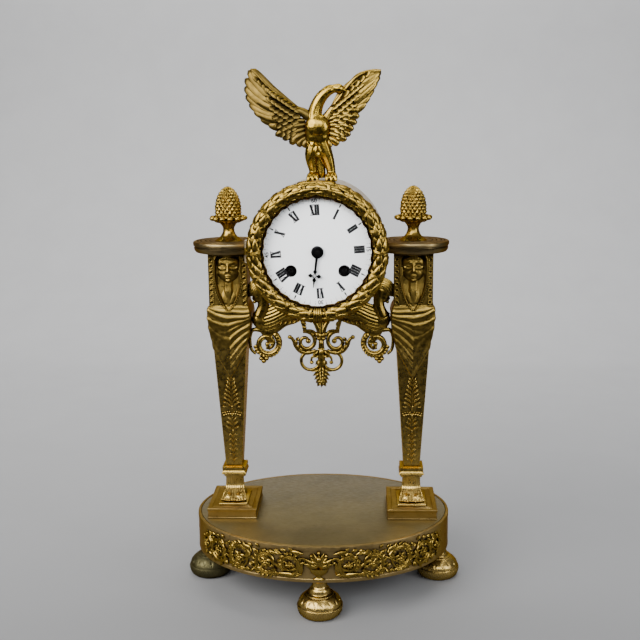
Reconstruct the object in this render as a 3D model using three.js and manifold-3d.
// A gilt bronze portico clock: an oval base on four bun feet carries two herm columns,
// and between them hangs a drum with the movement, the enamel dial and a laurel bezel.
// An eagle stands on the drum, and pine cones close the columns.
// Lengths are in millimetres. X points right, Y to the back, Z up.
// The origin lies on the ground at the centre of the four feet.
import * as THREE from 'three';
import { mergeVertices } from 'three/addons/utils/BufferGeometryUtils.js';
import Module from 'manifold-3d';

const wasm = await Module();
wasm.setup();

// Values that several pieces share
const clearance = 0.3;
const overrun = 3;
const weldDistance = 0.0005;
const boreSides = 8;
const nutSides = 6;
const squareSides = 4;
const roundingSteps = 5;

// Base and feet
const base = {
  halfWidth: 105.3,
  halfDepth: 80.5,
  underside: 30,
  height: 29.7,
  wall: 3,
  lip: 2.2,
  ledge: 6,
  ledgeThickness: 2.5,
  flangeWidth: 21,
  flangeThickness: 3,
  topPlateThickness: 3,
  sides: 36,
};
const baseTop = base.underside + base.height;
const foot = {
  radius: 18.4,
  height: base.underside,
  frontInset: 9.5,
  sideInset: 8.3,
  studRadius: 2,
  studLength: 6,
  sides: 14,
  outlineShares: [
    [0.5, 0], [0.74, 0.05], [0.93, 0.17], [1, 0.32], [0.96, 0.44], [0.8, 0.54],
    [0.41, 0.6], [0.36, 0.76], [0.42, 1],
  ],
};
const frieze = {
  bottom: 34,
  height: 19,
  thickness: 1.6,
  stemHalfHeight: 1.4,
  rosetteRadius: 6.6,
  rosettes: 5,
  waveShare: 0.7,
  firstAngle: 13,
  lastAngle: 62,
  endRosetteShare: 0.74,
  sides: 10,
  stemSteps: 12,
  urnRadius: 6.2,
  urnNeckRadius: 3.2,
};

// Columns: two herms on plinths
const herm = { spacing: 148, depthOffset: 2.4 };
const hermX = herm.spacing / 2;
const plinth = { width: 40.6, depth: 53, height: 8.4, flare: 0.9, flareHeight: 2.4 };
const soles = {
  plateWidth: 24,
  plateDepth: 33,
  plateThickness: 1.4,
  plateShift: -4,
  ankleSpacing: 8.8,
  ankleRadius: 4.1,
  ankleSetBack: 4.5,
  height: 22.6,
  footWidth: 10.2,
  footLength: 25,
  instepHeight: 8.5,
  toeHeight: 3.2,
  ankleSides: 10,
};
const collar = { width: 20.6, bottomWidth: 19, height: 6.6 };
const shaft = { bottomHalfWidth: 6.8, topHalfWidth: 13.2, topShare: 0.6457 };
const bust = {
  shoulderShare: 0.4987,
  elbowShare: 0.3117,
  waistShare: 0.4,
  elbowHalfWidth: 17,
  shoulderHalfWidth: 15.9,
  depthShare: 0.84,
  squareness: 5,
  sides: 16,
};
const headdress = {
  halfWidth: 15.3,
  halfDepth: 13.4,
  recessHalfWidth: 9.8,
  recessDepth: 8.5,
  browDrop: 3.5,
};
const head = {
  radius: 7.4,
  halfHeight: 10.6,
  centreShare: 0.7922,
  forward: 6.2,
  neckRadius: 5,
  noseLength: 4.6,
  noseRadius: 1.3,
};
const disc = {
  radius: 29,
  dropBelowDrum: 6.5,
  thickness: 9,
  sides: 26,
  outlineShares: [
    [0.8, 0], [0.86, 0.16], [0.93, 0.28], [0.95, 0.5], [1, 0.66], [1, 0.86], [0.97, 1],
  ],
};
const finial = {
  radius: 15.8,
  height: 43.4,
  sides: 14,
  outlineShares: [
    [0.49, 0], [0.42, 0.08], [0.33, 0.15], [0.33, 0.21], [0.55, 0.3], [0.98, 0.39],
    [1, 0.42], [0.73, 0.465], [0.72, 0.62], [0.67, 0.73], [0.58, 0.82], [0.43, 0.91],
    [0.23, 0.975],
  ],
};
const tieRod = {
  radius: 1.5,
  nutRadius: 4,
  nutThickness: 3,
  tail: 2,
  topInFinial: 12,
};

// Drum and what closes it
const drum = {
  centreHeight: 283.5,
  radius: 51.5,
  wall: 1.5,
  front: -50,
  back: 24.8,
  seatY: -44.2,
  seatWidth: 6.5,
  seatThickness: 1.8,
  slotWidth: 12,
  slotFront: 0.6,
  slotBack: 16,
  sides: 36,
};
const hinge = {
  pinRadius: 0.9,
  barrelRadius: 1.9,
  standOff: 0.8,
  leafReach: 1.2,
  leafDepth: 3.2,
  biteShare: 0.8,
  knuckleLength: 5.4,
};
const bezel = {
  outerRadius: 52.9,
  sightRadius: 40.6,
  depth: 12.4,
  rearInnerRadius: 45.4,
  glassRadius: 43.2,
  glassThickness: 1.6,
  glassSetBack: 2.4,
  glassLedge: 1.5,
  widestShare: 0.58,
  shoulderShare: 0.15,
  leaves: 18,
  leafCut: 0.9,
  sides: 36,
};
const dial = {
  radius: 43.6,
  edgeY: -52.9,
  dome: 1.3,
  domeSteps: 2,
  thickness: 1.2,
  centreHole: 4,
  windingHole: 4.2,
  feetRadius: 1.2,
  feetCircle: 33,
  feetCount: 3,
  sides: 28,
};
const backDoor = {
  radius: 50.2,
  thickness: 1.4,
  rimDepth: 3,
  rimWall: 1.6,
  dome: 2.2,
  sides: 28,
};
const drumBolt = { radius: 1.5, headRadius: 3, headThickness: 2, grip: 9 };

// Movement, measured from the centre of the drum
const movement = {
  plateRadius: 47,
  plateThickness: 2,
  plateGap: 32,
  pillarRadius: 3,
  pillarCircle: 39,
  pillarPinRadius: 1.8,
  pillarPinLength: 2.8,
  pillarAngles: [25, 155, 245, 295],
  plateSides: 24,
};
const frontPlateBack = drum.seatY - clearance;
const frontPlateFront = frontPlateBack - movement.plateThickness;
const backPlateFront = frontPlateBack + movement.plateGap;
const backPlateBack = backPlateFront + movement.plateThickness;
const winding = {
  sideOffset: 20.1,
  drop: 14.4,
  arborRadius: 1.8,
  collarRadius: 3,
  frontEnd: -54.4,
  ratchetRadius: 6.4,
  ratchetTeeth: 12,
  ratchetThickness: 1.5,
};
const springBarrel = {
  radius: 15,
  setBack: 5,
  length: 17.5,
  wheelRadius: 17.2,
  wheelThickness: 2.5,
  teeth: 42,
  sides: 20,
};
const centreArbor = {
  radius: 1.2,
  cannonRadius: 2.1,
  frontEnd: -57.4,
  squareLength: 0.6,
  cannonPinionRadius: 3.25,
  cannonPinionTeeth: 8,
  wheelRadius: 11,
  wheelThickness: 1.5,
  wheelSetForward: 0.9,
  teeth: 30,
  pinionRadius: 2.2,
  pinionTeeth: 6,
};
const motionWork = {
  layerThickness: 1.4,
  layerGap: 0.5,
  hourWheelRadius: 10.4,
  minuteWheelRadius: 9.75,
  minutePinionRadius: 2.6,
  studRadius: 1.1,
  hourPipeRadius: 3.4,
  hourPipeFront: -55.6,
  minuteAngle: 135,
  hourTeeth: 24,
  minuteTeeth: 24,
  pinionTeeth: 6,
};
const secondWheel = {
  radius: 10,
  thickness: 1.4,
  teeth: 27,
  pinionRadius: 2.5,
  arborRadius: 1,
};
const thirdWheel = {
  radius: 8.6,
  thickness: 1.2,
  teeth: 24,
  setBack: 14.5,
  arborRadius: 0.9,
  pinionRadius: 1.8,
  angle: 112.4,
};
const escapement = {
  wheelRadius: 7.4,
  teeth: 15,
  thickness: 1.2,
  setBack: 6.5,
  arborRadius: 0.9,
  pinionRadius: 1.5,
  anchorRise: 11.4,
  anchorArborRadius: 1.2,
  palletSpread: 7.5,
  palletDrop: 5.1,
  armHalfWidth: 1.1,
  crutchLength: 27,
  crutchSetBack: 2.1,
  crutchThickness: 1.2,
  crutchHalfWidth: 0.8,
};
const countWheel = { radius: 10, thickness: 1.2, notches: 11 };
const bell = {
  radius: 27,
  depth: 14,
  wall: 1.6,
  mouth: 6.2,
  drop: 4,
  postRadius: 2.2,
  armSetBack: 1,
  armThickness: 2.4,
  armHalfWidth: 2.4,
  footSide: -13,
  footDrop: 17,
  collarRadius: 3.2,
  collarThickness: 2,
  crownFall: 0.8,
  sides: 16,
  steps: 4,
};
const hammer = {
  pivotX: -35,
  pivotZ: 2,
  arborRadius: 1.3,
  armHalfWidth: 1.2,
  armThickness: 1.4,
  setBack: 0.5,
  headRadius: 2.4,
  headLength: 5,
  headX: -21.8,
  headZ: 18.2,
};
const cock = { width: 9, height: 11, depth: 14.6, rise: 35.5, springSetBack: 13.4 };
const hourHand = {
  length: 27.2,
  hubRadius: 4.7,
  hubThickness: 1.5,
  thickness: 0.8,
  back: -54.9,
  coverThickness: 0.5,
  stemHalfWidth: 0.55,
  crossShare: 0.66,
  crossRadius: 2.9,
  petalRadius: 1.3,
  lobes: 4,
  tipHalfWidth: 0.35,
  turnAngle: 186.9,
};

// Ornaments on and under the drum
const eagle = {
  reach: 50,
  depthOffset: -15,
  wingThickness: 2.6,
  wingSweep: 11,
  torsoHalfWidth: 9.2,
  torsoHalfDepth: 8.2,
  torsoHalfHeight: 15.5,
  torsoRise: 36.5,
  torsoShift: -1.5,
  rightFootShare: 0.23,
  studRadius: 1.2,
  nutRadius: 3,
  nutThickness: 2,
  neckSteps: 6,
};
const leftWingShares = [
  [-0.19, 1], [-0.32, 1.09], [-0.48, 1.22], [-0.64, 1.38], [-0.8, 1.52], [-0.92, 1.63],
  [-1, 1.69], [-1.06, 1.7], [-1.13, 1.62], [-1.16, 1.48], [-1.14, 1.33], [-1.12, 1.29],
  [-1.14, 1.24], [-1.09, 1.15], [-1, 1.04], [-0.88, 0.93], [-0.76, 0.85], [-0.7, 0.81],
  [-0.72, 0.76], [-0.65, 0.71], [-0.67, 0.65], [-0.6, 0.62], [-0.5, 0.62], [-0.46, 0.56],
  [-0.36, 0.51], [-0.22, 0.5], [-0.19, 0.56],
];
const rightWingShares = [
  [0.13, 0.99], [0.2, 1.16], [0.28, 1.3], [0.38, 1.4], [0.48, 1.49], [0.6, 1.59],
  [0.72, 1.63], [0.84, 1.66], [0.95, 1.66], [0.97, 1.61], [0.9, 1.51], [0.83, 1.34],
  [0.74, 1.2], [0.67, 1.11], [0.6, 1.07], [0.64, 0.98], [0.61, 0.88], [0.54, 0.84],
  [0.52, 0.72], [0.43, 0.68], [0.44, 0.6], [0.32, 0.6], [0.29, 0.53], [0.2, 0.5],
  [0.17, 0.48], [0.13, 0.6],
];
// Stations of the eagle's limbs as shares of its reach: across, back, up and radius
const neckShares = [
  [-0.06, 0, 0.98, 0.11], [-0.04, -0.02, 1.14, 0.084], [0.03, -0.04, 1.3, 0.068],
  [0.14, -0.06, 1.386, 0.06], [0.24, -0.07, 1.39, 0.056],
];
const beakShares = [[0.33, -0.07, 1.37, 0.036], [0.43, -0.07, 1.32, 0.01]];
const tailShares = [[-0.03, 0.06, 0.6, 0.09], [-0.03, 0.24, 0.46, 0.1], [-0.03, 0.42, 0.32, 0.11]];
const leftLegShares = [
  [-0.12, 0, 0.58, 0.104], [-0.12, -0.02, 0.4, 0.092], [-0.09, 0, 0.24, 0.06], [-0.096, 0, 0.08, 0.05],
];
const rightLegShares = [
  [0.06, 0, 0.58, 0.108], [0.12, -0.02, 0.38, 0.092], [0.172, 0, 0.2, 0.064], [0.22, 0, 0.04, 0.054],
];
const headPlaceShares = [0.29, -0.07, 1.375];
const headSizeShares = [0.07, 0.054, 0.054];
const leftFootShares = [-0.1, -0.02, 0.05];
const rightFootShares = [0.23, -0.02, 0.02];
const footSizeShares = [0.088, 0.12, 0.07];

const bracket = { plane: -4, thickness: 6, ribbonThickness: 3.6 };
const griffin = {
  reach: 55.8,
  headX: 53,
  headDrop: 36.5,
  headRadius: 4.9,
  headHalfDepth: 3.6,
  neckX: 48,
  neckDrop: 45.5,
  neckHalfWidth: 2.6,
  scrollX: 43.9,
  scrollDrop: 81.5,
  scrollRadius: 10.4,
  scrollHalfWidth: 1.7,
  eyeRadius: 3.3,
  outerScrollDrop: 80.5,
  outerScrollRadius: 9.4,
  outerScrollHalfWidth: 1.3,
  budX: 47,
  budDrop: 94.5,
  budRadius: 3.3,
  budHalfDepth: 2.2,
  coilAngles: [100, 550],
  coilSteps: 15,
  crescentAngles: [-110, 95],
  crescentSteps: 8,
};
const griffinBodyShares = [
  [0.27, -1.24], [0.3, -1.09], [0.25, -0.96], [0.36, -0.84], [0.79, -0.38], [0.84, -0.55],
  [0.88, -0.74], [0.85, -0.86], [0.93, -0.97], [1, -1.08], [0.94, -1.24], [0.86, -1.33],
  [0.66, -1.3], [0.57, -1.21], [0.44, -1.14], [0.34, -1.15],
];
const pendant = {
  bossDrop: 74.5,
  bossRadius: 4.6,
  stemHalfWidth: 2.6,
  spreadHalfWidth: 7,
  barHalfWidth: 15.6,
  barDrop: 60.2,
  barHalfHeight: 0.9,
  spiralX: 12.8,
  spiralDrop: 79.7,
  spiralRadius: 8.6,
  spiralHalfWidth: 1.15,
  ballX: 25.4,
  ballDrop: 76.2,
  ballRadius: 1.9,
  hoopX: 9,
  hoopDrop: 95.9,
  hoopRadius: 7.6,
  hoopHalfWidth: 0.75,
  hoopSides: 12,
  waistDrop: 99.5,
  waistRadius: 3.3,
  leafTopDrop: 102.5,
  leafHalfWidth: 6,
  tipDrop: 117.7,
  coilAngles: [-45, 405],
  coilSteps: 14,
  elbowShares: [0.8, 0.6],
};
const leafOutlineShares = [
  [0.2, 0], [0.9, 0.14], [0.7, 0.22], [1, 0.36], [0.74, 0.42], [0.86, 0.62], [0.5, 0.64],
  [0.5, 0.8], [0.26, 0.8], [0, 1],
];

// Heights that follow from the drum's place and the base
const drumTop = drum.centreHeight + drum.radius;
const discBottom = drum.centreHeight - disc.dropBelowDrum;
const boltHeight = discBottom + disc.thickness / 2;
const shaftTop = THREE.MathUtils.lerp(baseTop, discBottom, shaft.topShare);

// Finishes
const finishes = {
  gilt: { color: 0xb08a3c, roughness: 0.34, metalness: 1 },
  darkGilt: { color: 0x8a7038, roughness: 0.5, metalness: 1 },
  brass: { color: 0xc2a35a, roughness: 0.3, metalness: 1 },
  steel: { color: 0x8c9094, roughness: 0.35, metalness: 1 },
  blackSteel: { color: 0x101013, roughness: 0.35, metalness: 0.4 },
  bellMetal: { color: 0xb9b2a0, roughness: 0.28, metalness: 1 },
  enamel: { color: 0xe4e9ec, roughness: 0.18, metalness: 0 },
  glass: { color: 0xdfe8ea, roughness: 0.04, metalness: 0, transparent: true, opacity: 0.25 },
};

const clock = new THREE.Group();
clock.name = 'portico_clock';

const degrees = THREE.MathUtils.degToRad;

// Turns a closed geometry into a solid, with faces pointing out and no collapsed faces
function solid(geometry) {
  const bare = geometry.clone();
  bare.deleteAttribute('normal');
  bare.deleteAttribute('uv');
  const merged = mergeVertices(bare, weldDistance);
  const points = merged.attributes.position.array;
  const corners = merged.index.array;
  const faces = [];
  let volume = 0;
  for (let i = 0; i < corners.length; i += 3) {
    const [a, b, c] = [corners[i], corners[i + 1], corners[i + 2]];
    if (a === b || b === c || c === a) continue;
    faces.push(a, b, c);
    const p = new THREE.Vector3().fromArray(points, 3 * a);
    const q = new THREE.Vector3().fromArray(points, 3 * b);
    const r = new THREE.Vector3().fromArray(points, 3 * c);
    volume += p.dot(q.cross(r));
  }
  if (volume < 0) faces.reverse();
  return new wasm.Manifold(new wasm.Mesh({
    numProp: 3,
    vertProperties: Float32Array.from(points),
    triVerts: Uint32Array.from(faces),
  }));
}

// Joins a list of solids
function join(solids) {
  return solids.reduce((whole, piece) => whole.add(piece));
}

// Adds a finished piece to the clock as a named mesh
function addPiece(name, piece, finish) {
  const result = piece.getMesh();
  const geometry = new THREE.BufferGeometry();
  geometry.setAttribute('position', new THREE.BufferAttribute(result.vertProperties, 3));
  geometry.setIndex(new THREE.BufferAttribute(result.triVerts, 1));
  geometry.computeVertexNormals();
  const mesh = new THREE.Mesh(geometry, new THREE.MeshStandardMaterial(finishes[finish]));
  mesh.name = name;
  clock.add(mesh);
}

// Scales an outline of shares to real radii and heights
function outlineOf(shares, radius, height, bottom = 0) {
  return shares.map(([r, h]) => [r * radius, bottom + h * height]);
}

// Turns an outline of [radius, height] about Z; it closes on the axis or on itself
function turned(outline, sides) {
  const points = outline.map(([radius, height]) => new THREE.Vector2(radius, height));
  return new THREE.LatheGeometry(points, sides).rotateX(Math.PI / 2);
}

// Closes an outline on the axis and turns it about Z
function turnedSolid(outline, sides) {
  const first = outline[0];
  const last = outline[outline.length - 1];
  return turned([[0, first[1]], ...outline, [0, last[1]]], sides);
}

// Closes an outline on itself and turns it about Z
function turnedRing(outline, sides) {
  return turned([...outline, outline[0]], sides);
}

// The same three turnings about the drum's axis: heights become places along Y
function alongY(geometry) {
  return geometry.rotateX(-Math.PI / 2).translate(0, 0, drum.centreHeight);
}

// A round bar along Z that starts at a height
function upright(radius, from, to, sides, x = 0, y = 0) {
  const bar = new THREE.CylinderGeometry(radius, radius, to - from, sides);
  return solid(bar.rotateX(Math.PI / 2).translate(x, y, (from + to) / 2));
}

// A round bar along Y, placed from the centre of the drum
function axle(radius, from, to, sides = boreSides, x = 0, z = 0) {
  const bar = new THREE.CylinderGeometry(radius, radius, to - from, sides);
  return solid(bar.translate(x, (from + to) / 2, drum.centreHeight + z));
}

// A block between two corners
function blockBetween(low, high) {
  const size = high.map((value, i) => value - low[i]);
  const middle = high.map((value, i) => (value + low[i]) / 2);
  return solid(new THREE.BoxGeometry(...size).translate(...middle));
}

// An egg shape with three half sizes
function egg(halfSizes, centre, around = 12, down = 7) {
  const ball = new THREE.SphereGeometry(1, around, down).rotateX(Math.PI / 2);
  return solid(ball.scale(...halfSizes).translate(...centre));
}

// A flat plate that stands upright: an outline in X and Z, and its thickness along Y
function standing(shape, front, thickness, curveSteps = 6) {
  const settings = { depth: thickness, bevelEnabled: false, curveSegments: curveSteps };
  const plate = new THREE.ExtrudeGeometry(shape, settings);
  return plate.rotateX(Math.PI / 2).translate(0, front + thickness, 0);
}

function shapeOf(points) {
  return new THREE.Shape(points.map(([x, z]) => new THREE.Vector2(x, z)));
}

// A limb that swells and tapers along a curve: each station is [x, y, z, radius]
function limb(stations, sides, steps) {
  const places = stations.map(([x, y, z]) => new THREE.Vector3(x, y, z));
  const path = new THREE.CatmullRomCurve3(places);
  const frames = path.computeFrenetFrames(steps);
  const tube = new THREE.CylinderGeometry(1, 1, 1, sides, steps);
  const spots = tube.attributes.position;
  for (let i = 0; i < spots.count; i += 1) {
    const along = spots.getY(i) + 0.5;
    const row = Math.round(along * steps);
    const at = along * (stations.length - 1);
    const before = Math.min(Math.floor(at), stations.length - 2);
    const radius = THREE.MathUtils.lerp(stations[before][3], stations[before + 1][3], at - before);
    const point = path.getPoint(along);
    point.addScaledVector(frames.normals[row], spots.getX(i) * radius);
    point.addScaledVector(frames.binormals[row], spots.getZ(i) * radius);
    spots.setXYZ(i, point.x, point.y, point.z);
  }
  return solid(tube);
}

// A strap of changing width along a centre line of [x, z] places
function ribbon(line, halfWidthAt) {
  const left = [];
  const right = [];
  line.forEach(([x, z], i) => {
    const [beforeX, beforeZ] = line[Math.max(i - 1, 0)];
    const [afterX, afterZ] = line[Math.min(i + 1, line.length - 1)];
    const side = new THREE.Vector2(beforeZ - afterZ, afterX - beforeX).normalize();
    const reach = side.multiplyScalar(halfWidthAt(i / (line.length - 1)));
    left.push([x + reach.x, z + reach.y]);
    right.unshift([x - reach.x, z - reach.y]);
  });
  return shapeOf([...left, ...right]);
}

// The centre line of a scroll that winds from one radius to another
function scrollLine(x, z, fromRadius, toRadius, [fromAngle, toAngle], steps) {
  return Array.from({ length: steps + 1 }, (_, i) => {
    const share = i / steps;
    const radius = THREE.MathUtils.lerp(fromRadius, toRadius, share);
    const angle = degrees(THREE.MathUtils.lerp(fromAngle, toAngle, share));
    return [x + radius * Math.cos(angle), z + radius * Math.sin(angle)];
  });
}

// A toothed wheel about the Y axis, placed from the centre of the drum
function wheel(radius, teeth, front, thickness, x = 0, z = 0) {
  const toothDepth = radius * 2 / teeth;
  const rim = Array.from({ length: 2 * teeth }, (_, i) => {
    const reach = radius - (i % 2) * toothDepth;
    const angle = Math.PI * i / teeth;
    return [x + reach * Math.cos(angle), drum.centreHeight + z + reach * Math.sin(angle)];
  });
  return solid(standing(shapeOf(rim), front, thickness));
}

// Maps a turned ring of the base's half width to the oval of the base
function ovalOf(geometry) {
  const spots = geometry.attributes.position;
  for (let i = 0; i < spots.count; i += 1) {
    const radius = Math.hypot(spots.getX(i), spots.getY(i));
    const angle = Math.atan2(spots.getY(i), spots.getX(i));
    const inset = base.halfWidth - radius;
    const halfDepth = radius > weldDistance ? base.halfDepth - inset : 0;
    spots.setX(i, radius * Math.cos(angle));
    spots.setY(i, halfDepth * Math.sin(angle));
  }
  return geometry;
}

const footReach = [base.halfWidth - foot.sideInset, base.halfDepth - foot.frontInset];
const footPlaces = {
  foot_front: [0, -footReach[1]],
  foot_back: [0, footReach[1]],
  foot_left: [-footReach[0], 0],
  foot_right: [footReach[0], 0],
};

function addFeet() {
  const outline = outlineOf(foot.outlineShares, foot.radius, foot.height);
  for (const [name, [x, y]] of Object.entries(footPlaces)) {
    const bun = solid(turnedSolid(outline, foot.sides).translate(x, y, 0));
    const studFrom = foot.height - overrun;
    const stud = upright(foot.studRadius, studFrom, foot.height + foot.studLength, boreSides, x, y);
    addPiece(name, bun.add(stud), 'darkGilt');
  }
}

function addBaseRim() {
  const edge = base.halfWidth;
  const plateSeat = baseTop - base.topPlateThickness;
  const flangeTop = base.underside + base.flangeThickness;
  const outline = [
    [edge, base.underside], [edge, baseTop], [edge - base.lip, baseTop],
    [edge - base.lip, plateSeat], [edge - base.ledge, plateSeat],
    [edge - base.ledge, plateSeat - base.ledgeThickness],
    [edge - base.wall, plateSeat - base.ledgeThickness - base.ledge / 2],
    [edge - base.wall, flangeTop], [edge - base.flangeWidth, flangeTop],
    [edge - base.flangeWidth, base.underside],
  ];
  let rim = solid(ovalOf(turnedRing(outline, base.sides)));
  for (const [x, y] of Object.values(footPlaces)) {
    const bore = foot.studRadius + clearance;
    const from = base.underside - overrun;
    rim = rim.subtract(upright(bore, from, flangeTop + overrun, boreSides, x, y));
  }
  addPiece('base_rim', rim, 'gilt');
}

function addBaseTop() {
  const edge = base.halfWidth - base.lip - clearance;
  const outline = [[edge, baseTop - base.topPlateThickness], [edge, baseTop]];
  let plate = solid(ovalOf(turnedSolid(outline, base.sides)));
  for (const side of [-1, 1]) plate = plate.subtract(rodBore(side));
  addPiece('base_top_plate', plate, 'darkGilt');
}

// A point on the base's oval, moved out by a distance, at a turn from the front centre
function onOval(turn, out) {
  const angle = degrees(turn - 90);
  const place = new THREE.Vector3(base.halfWidth * Math.cos(angle), base.halfDepth * Math.sin(angle), 0);
  const normal = new THREE.Vector3(Math.cos(angle) / base.halfWidth, Math.sin(angle) / base.halfDepth, 0);
  return place.addScaledVector(normal.normalize(), out);
}

function normalTurn(turn) {
  const out = onOval(turn, 1).sub(onOval(turn, 0));
  return Math.atan2(out.x, -out.y);
}

// A round boss that faces out from the base's oval
function friezeBoss(turn, radius, height) {
  const puck = new THREE.CylinderGeometry(radius, radius, frieze.thickness, frieze.sides);
  puck.rotateZ(normalTurn(turn));
  const middle = onOval(turn, clearance + frieze.thickness / 2);
  return solid(puck.translate(middle.x, middle.y, height));
}

// A rail that follows the base's oval between two turns
function friezeStem(fromTurn, toTurn) {
  const middle = frieze.bottom + frieze.height / 2;
  const strip = new THREE.BoxGeometry(1, 1, 1, frieze.stemSteps, 1, 1).translate(1 / 2, -1 / 2, 0);
  const spots = strip.attributes.position;
  for (let i = 0; i < spots.count; i += 1) {
    const along = spots.getX(i);
    const turn = THREE.MathUtils.lerp(fromTurn, toTurn, along);
    const out = 2 * clearance - spots.getY(i) * frieze.thickness;
    const swing = frieze.waveShare * frieze.rosetteRadius;
    const wave = Math.cos(along * Math.PI * (frieze.rosettes - 1)) * swing;
    const height = middle + wave + spots.getZ(i) * 2 * frieze.stemHalfHeight;
    const place = onOval(turn, out);
    spots.setXYZ(i, place.x, place.y, height);
  }
  return solid(strip);
}

function addFrieze() {
  const middle = frieze.bottom + frieze.height / 2;
  for (const side of [-1, 1]) {
    const step = (frieze.lastAngle - frieze.firstAngle) / (frieze.rosettes - 1);
    let mount = friezeStem(side * frieze.firstAngle, side * frieze.lastAngle);
    for (let i = 0; i < frieze.rosettes; i += 1) {
      const turn = side * (frieze.firstAngle + i * step);
      const last = i === frieze.rosettes - 1;
      const radius = frieze.rosetteRadius * (last ? frieze.endRosetteShare : 1);
      mount = mount.add(friezeBoss(turn, radius, middle));
    }
    addPiece(side < 0 ? 'frieze_mount_left' : 'frieze_mount_right', mount, 'gilt');
  }
  addFriezeUrn(middle);
}

function addFriezeUrn(middle) {
  const top = frieze.bottom + frieze.height;
  const [wide, neck] = [frieze.urnRadius, frieze.urnNeckRadius];
  const half = [
    [neck, frieze.bottom], [neck / 2, frieze.bottom + neck], [wide, middle],
    [neck, middle + neck], [wide, top],
  ];
  const profile = [...half, ...half.map(([x, z]) => [-x, z]).reverse()];
  const front = -base.halfDepth - clearance - frieze.thickness;
  addPiece('frieze_urn', solid(standing(shapeOf(profile), front, frieze.thickness)), 'gilt');
}

const rodTop = discBottom + disc.thickness + tieRod.topInFinial;
const rodBottom = baseTop - base.topPlateThickness - tieRod.nutThickness - tieRod.tail;

function rodBore(side) {
  const bore = tieRod.radius + clearance;
  const [from, to] = [rodBottom - overrun, rodTop + clearance];
  return upright(bore, from, to, boreSides, side * hermX, herm.depthOffset);
}

function addHermPiece(name, side, piece, finish) {
  addPiece(`${name}_${side < 0 ? 'left' : 'right'}`, piece.subtract(rodBore(side)), finish);
}

function addPlinth(side) {
  const [x, y] = [side * hermX, 0];
  const [w, d] = [plinth.width / 2, plinth.depth / 2];
  const top = baseTop + plinth.height;
  const body = blockBetween([x - w + plinth.flare, y - d + plinth.flare, baseTop],
    [x + w - plinth.flare, y + d - plinth.flare, top]);
  const foundation = blockBetween([x - w, y - d, baseTop], [x + w, y + d, baseTop + plinth.flareHeight]);
  addHermPiece('plinth', side, body.add(foundation), 'gilt');
}

// One bare foot: a wedge seen from the side, drawn in Y and Z and given its width in X
function soleWedge(x, y, bottom) {
  const toe = y - soles.footLength + soles.ankleRadius;
  const heel = y + soles.ankleRadius;
  const shape = shapeOf([
    [toe, bottom], [heel, bottom], [heel, bottom + soles.instepHeight],
    [y - soles.ankleRadius, bottom + soles.instepHeight], [toe, bottom + soles.toeHeight],
  ]);
  const plate = new THREE.ExtrudeGeometry(shape, { depth: soles.footWidth, bevelEnabled: false });
  const spots = plate.attributes.position;
  for (let i = 0; i < spots.count; i += 1) {
    const [along, up, across] = [spots.getX(i), spots.getY(i), spots.getZ(i)];
    spots.setXYZ(i, x + across - soles.footWidth / 2, along, up);
  }
  return solid(plate);
}

function addSoles(side) {
  const [x, y] = [side * hermX, herm.depthOffset];
  const bottom = baseTop + plinth.height;
  const top = bottom + soles.height;
  const sole = bottom + soles.plateThickness;
  const middle = y + soles.plateShift;
  const plate = blockBetween(
    [x - soles.plateWidth / 2, middle - soles.plateDepth / 2, bottom],
    [x + soles.plateWidth / 2, middle + soles.plateDepth / 2, sole]);
  const parts = [plate];
  const core = blockBetween(
    [x - soles.ankleRadius / 2 - tieRod.radius, y - soles.ankleRadius, bottom],
    [x + soles.ankleRadius / 2 + tieRod.radius, y + soles.ankleRadius, top]);
  parts.push(core);
  for (const which of [-1, 1]) {
    const ankleX = x + which * soles.ankleSpacing / 2;
    const radius = soles.ankleRadius;
    parts.push(upright(radius, sole, top, soles.ankleSides, ankleX, y - clearance));
    parts.push(soleWedge(ankleX + which * clearance, y, sole - clearance));
  }
  addHermPiece('herm_feet', side, join(parts), 'gilt');
}

// A square column between two heights, from one half width to another
function taper(x, y, bottom, top, lowHalf, highHalf) {
  const column = new THREE.CylinderGeometry(highHalf, lowHalf, top - bottom, squareSides, 1);
  column.rotateY(Math.PI / 4).rotateX(Math.PI / 2).scale(Math.SQRT2, Math.SQRT2, 1);
  return solid(column.translate(x, y, (top + bottom) / 2));
}

const collarBottom = baseTop + plinth.height + soles.height;

function addShaft(side) {
  const [x, y] = [side * hermX, herm.depthOffset];
  const collarTop = collarBottom + collar.height;
  const knop = taper(x, y, collarBottom, collarTop, collar.bottomWidth / 2, collar.width / 2);
  const body = taper(x, y, collarTop - clearance, shaftTop, shaft.bottomHalfWidth, shaft.topHalfWidth);
  addHermPiece('herm_shaft', side, knop.add(body), 'gilt');
}

// A point round a squarish section
function squarish(angle, halfWidth, halfDepth) {
  const [c, s] = [Math.cos(angle), Math.sin(angle)];
  const power = bust.squareness;
  const reach = (Math.abs(c) ** power + Math.abs(s) ** power) ** (-1 / power);
  return [reach * c * halfWidth, reach * s * halfDepth];
}

// The bust fills the space between the shaft and the disc
const bustSpan = discBottom - shaftTop;
const shoulderHeight = shaftTop + bustSpan * bust.shoulderShare;
const elbowHeight = shaftTop + bustSpan * bust.elbowShare;
const waistHeight = THREE.MathUtils.lerp(shaftTop, elbowHeight, bust.waistShare);
const headHeight = shaftTop + bustSpan * head.centreShare;

// Half width of the bust's drapery, with its height
const bustStations = [
  [shaftTop, shaft.topHalfWidth],
  [waistHeight, (shaft.topHalfWidth + bust.elbowHalfWidth) / 2],
  [elbowHeight, bust.elbowHalfWidth],
  [(elbowHeight + shoulderHeight) / 2, bust.elbowHalfWidth],
  [shoulderHeight, bust.shoulderHalfWidth],
];

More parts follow.
